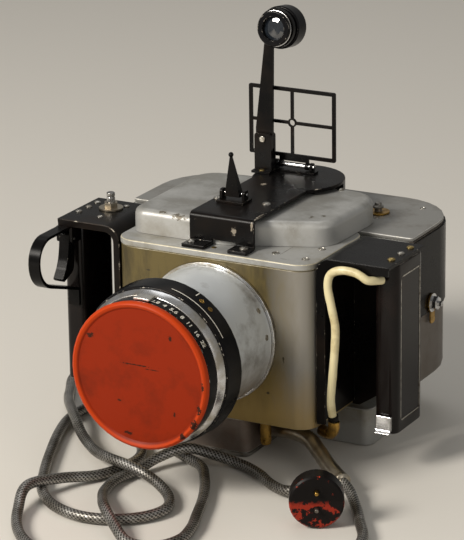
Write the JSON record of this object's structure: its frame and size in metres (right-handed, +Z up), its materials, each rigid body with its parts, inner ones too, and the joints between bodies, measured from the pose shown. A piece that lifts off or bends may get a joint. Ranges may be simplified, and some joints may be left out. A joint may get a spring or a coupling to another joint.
{
  "type": "hand-held aerial roll-film camera",
  "caption": "Hand-held roll-film aerial camera with capped lens, two side grips, trigger, folding sighting frame, eyepiece on a stalk, film magazine and power cord.",
  "frame": {"origin": "centre of the box round the camera without its free cord and plug, on the surface that it stands on", "axes": "+X to the right seen from the front, -Y the way the lens points, +Z up"},
  "size_m": [0.4237, 0.4961, 0.3618],
  "materials": {
    "silver_paint": "hammered silver-grey paint, satin",
    "patina_paint": "silver-grey paint yellowed to olive and ochre",
    "black_enamel": "semi-gloss black stove enamel",
    "black_anodised": "black anodised, satin",
    "red_paint": "orange-red paint, worn at the rim",
    "chrome": "polished",
    "satin_aluminium": "satin turned",
    "nickel_tube": "satin nickel plate",
    "brass": "dull yellow brass",
    "steel": "bare steel",
    "glass": "coated optical glass",
    "cream_sleeve": "cream PVC sleeve",
    "metal_braid": "tinned wire braid over a cable",
    "film": "wound roll film",
    "bakelite": "black moulded bakelite",
    "white_metal": "bare white metal spring"
  },
  "bodies": {
    "camera": {"front_body": "patina_paint", "body_lid": "silver_paint", "base_plate": "steel", "pedestal_housing": "silver_paint", "drive_housing": "silver_paint", "brass_stud": "brass", "lens_flange": "satin_aluminium", "lens_barrel": "silver_paint", "front_collar": "satin_aluminium", "front_ring": "black_anodised", "front_lens": "glass", "rear_lens": "glass", "shutter_case": "black_anodised", "gear_cover": "silver_paint", "finder_bracket": "black_enamel", "sight_base": "black_enamel", "sight_pin": "chrome", "frame_hinge": "black_enamel", "hinge_rod": "chrome", "stalk_base": "black_enamel", "stalk_screw": "steel", "handle_frame_left": "black_enamel", "handle_frame_right": "black_enamel", "grip_left": "bakelite", "grip_right": "bakelite", "trigger_guard": "black_enamel", "trigger_pin": "steel", "button_nut": "nickel_tube", "conduit": "nickel_tube", "cream_sleeve": "cream_sleeve", "sleeve_elbow": "brass", "power_cord": "metal_braid", "plug_body": "bakelite", "plug_pin_upper": "brass", "plug_pin_lower": "steel"},
    "magazine": {"magazine_shell": "silver_paint", "magazine_lid": "silver_paint", "side_plate_left": "black_enamel", "side_plate_right": "black_enamel"},
    "supply": {"supply_spool": "black_anodised", "film_roll": "film"},
    "take_up": {"take_up_spool": "black_anodised"},
    "film_pad": {"pressure_plate": "steel"},
    "left_latch": {"latch_left": "chrome"},
    "right_latch": {"latch_right": "chrome"},
    "counter": {"counter_knob": "steel"},
    "stop": {"stop_ring": "black_anodised"},
    "cap": {"lens_cap": "red_paint", "cap_clip_top": "white_metal", "cap_clip_bottom": "white_metal"},
    "shutter": {"shutter_disc": "steel"},
    "sight": {"front_sight": "black_enamel"},
    "frame_finder": {"finder_frame": "black_enamel"},
    "eyepiece": {"stalk_arm": "black_enamel", "eyepiece_tube": "black_anodised", "eyepiece_lens": "glass"},
    "trigger_lever": {"trigger": "black_enamel"},
    "release": {"release_button": "chrome"},
    "tab": {"grip_tab": "steel"}
  },
  "joints": [
    {"name": "magazine_slide", "type": "slide", "parent": "camera", "child": "magazine", "axis": [0, 1, 0], "range_m": [0, 0.15]},
    {"name": "supply_turn", "type": "hinge", "parent": "magazine", "child": "supply", "pos_m": [-0.09, 0.1143, 0.11], "axis": [0, 0, 1], "continuous": true},
    {"name": "take_up_turn", "type": "hinge", "parent": "magazine", "child": "take_up", "pos_m": [0.09, 0.1143, 0.11], "axis": [0, 0, 1], "continuous": true},
    {"name": "film_pad_press", "type": "slide", "parent": "magazine", "child": "film_pad", "axis": [0, 1, 0], "range_m": [0, 0.0015], "stiffness_N_per_m": 400},
    {"name": "left_latch_turn", "type": "hinge", "parent": "magazine", "child": "left_latch", "pos_m": [-0.142, 0.098, 0.116], "axis": [-1, 0, 0], "range_deg": [0, 90]},
    {"name": "right_latch_turn", "type": "hinge", "parent": "magazine", "child": "right_latch", "pos_m": [0.142, 0.098, 0.116], "axis": [-1, 0, 0], "range_deg": [0, 90]},
    {"name": "counter_turn", "type": "hinge", "parent": "magazine", "child": "counter", "pos_m": [0.08, 0.1183, 0.19], "axis": [0, 0, 1], "continuous": true},
    {"name": "stop_ring_turn", "type": "hinge", "parent": "camera", "child": "stop", "pos_m": [0, -0.135, 0.1125], "axis": [0, -1, 0], "range_deg": [0, 90]},
    {"name": "cap_pull", "type": "slide", "parent": "camera", "child": "cap", "axis": [0, -1, 0], "range_m": [0, 0.09]},
    {"name": "shutter_turn", "type": "hinge", "parent": "camera", "child": "shutter", "pos_m": [0, -0.0347, 0.1125], "axis": [0, 1, 0], "continuous": true},
    {"name": "sight_fold", "type": "hinge", "parent": "camera", "child": "sight", "pos_m": [-0.008, 0.011, 0.2208], "axis": [-1, 0, 0], "range_deg": [0, 88]},
    {"name": "frame_fold", "type": "hinge", "parent": "camera", "child": "frame_finder", "pos_m": [-0.006, 0.119, 0.2188], "axis": [-1, 0, 0], "range_deg": [0, 90]},
    {"name": "eyepiece_fold", "type": "hinge", "parent": "camera", "child": "eyepiece", "pos_m": [-0.0282, 0.108, 0.244], "axis": [0, -1, 0], "range_deg": [0, 90]},
    {"name": "trigger_pull", "type": "hinge", "parent": "camera", "child": "trigger_lever", "pos_m": [-0.153, -0.034, 0.173], "axis": [1, 0, 0], "range_deg": [0, 10], "stiffness_Nm_per_rad": 0.6},
    {"name": "release_press", "type": "slide", "parent": "camera", "child": "release", "axis": [0, 0, -1], "range_m": [0, 0.004], "stiffness_N_per_m": 300},
    {"name": "tab_open", "type": "hinge", "parent": "camera", "child": "tab", "pos_m": [0.1545, -0.024, 0.051], "axis": [-1, 0, 0], "range_deg": [0, 60]}
  ],
  "couplings": [
    {"joint": "take_up_turn", "follows": "supply_turn", "ratio": 3.4444}
  ]
}
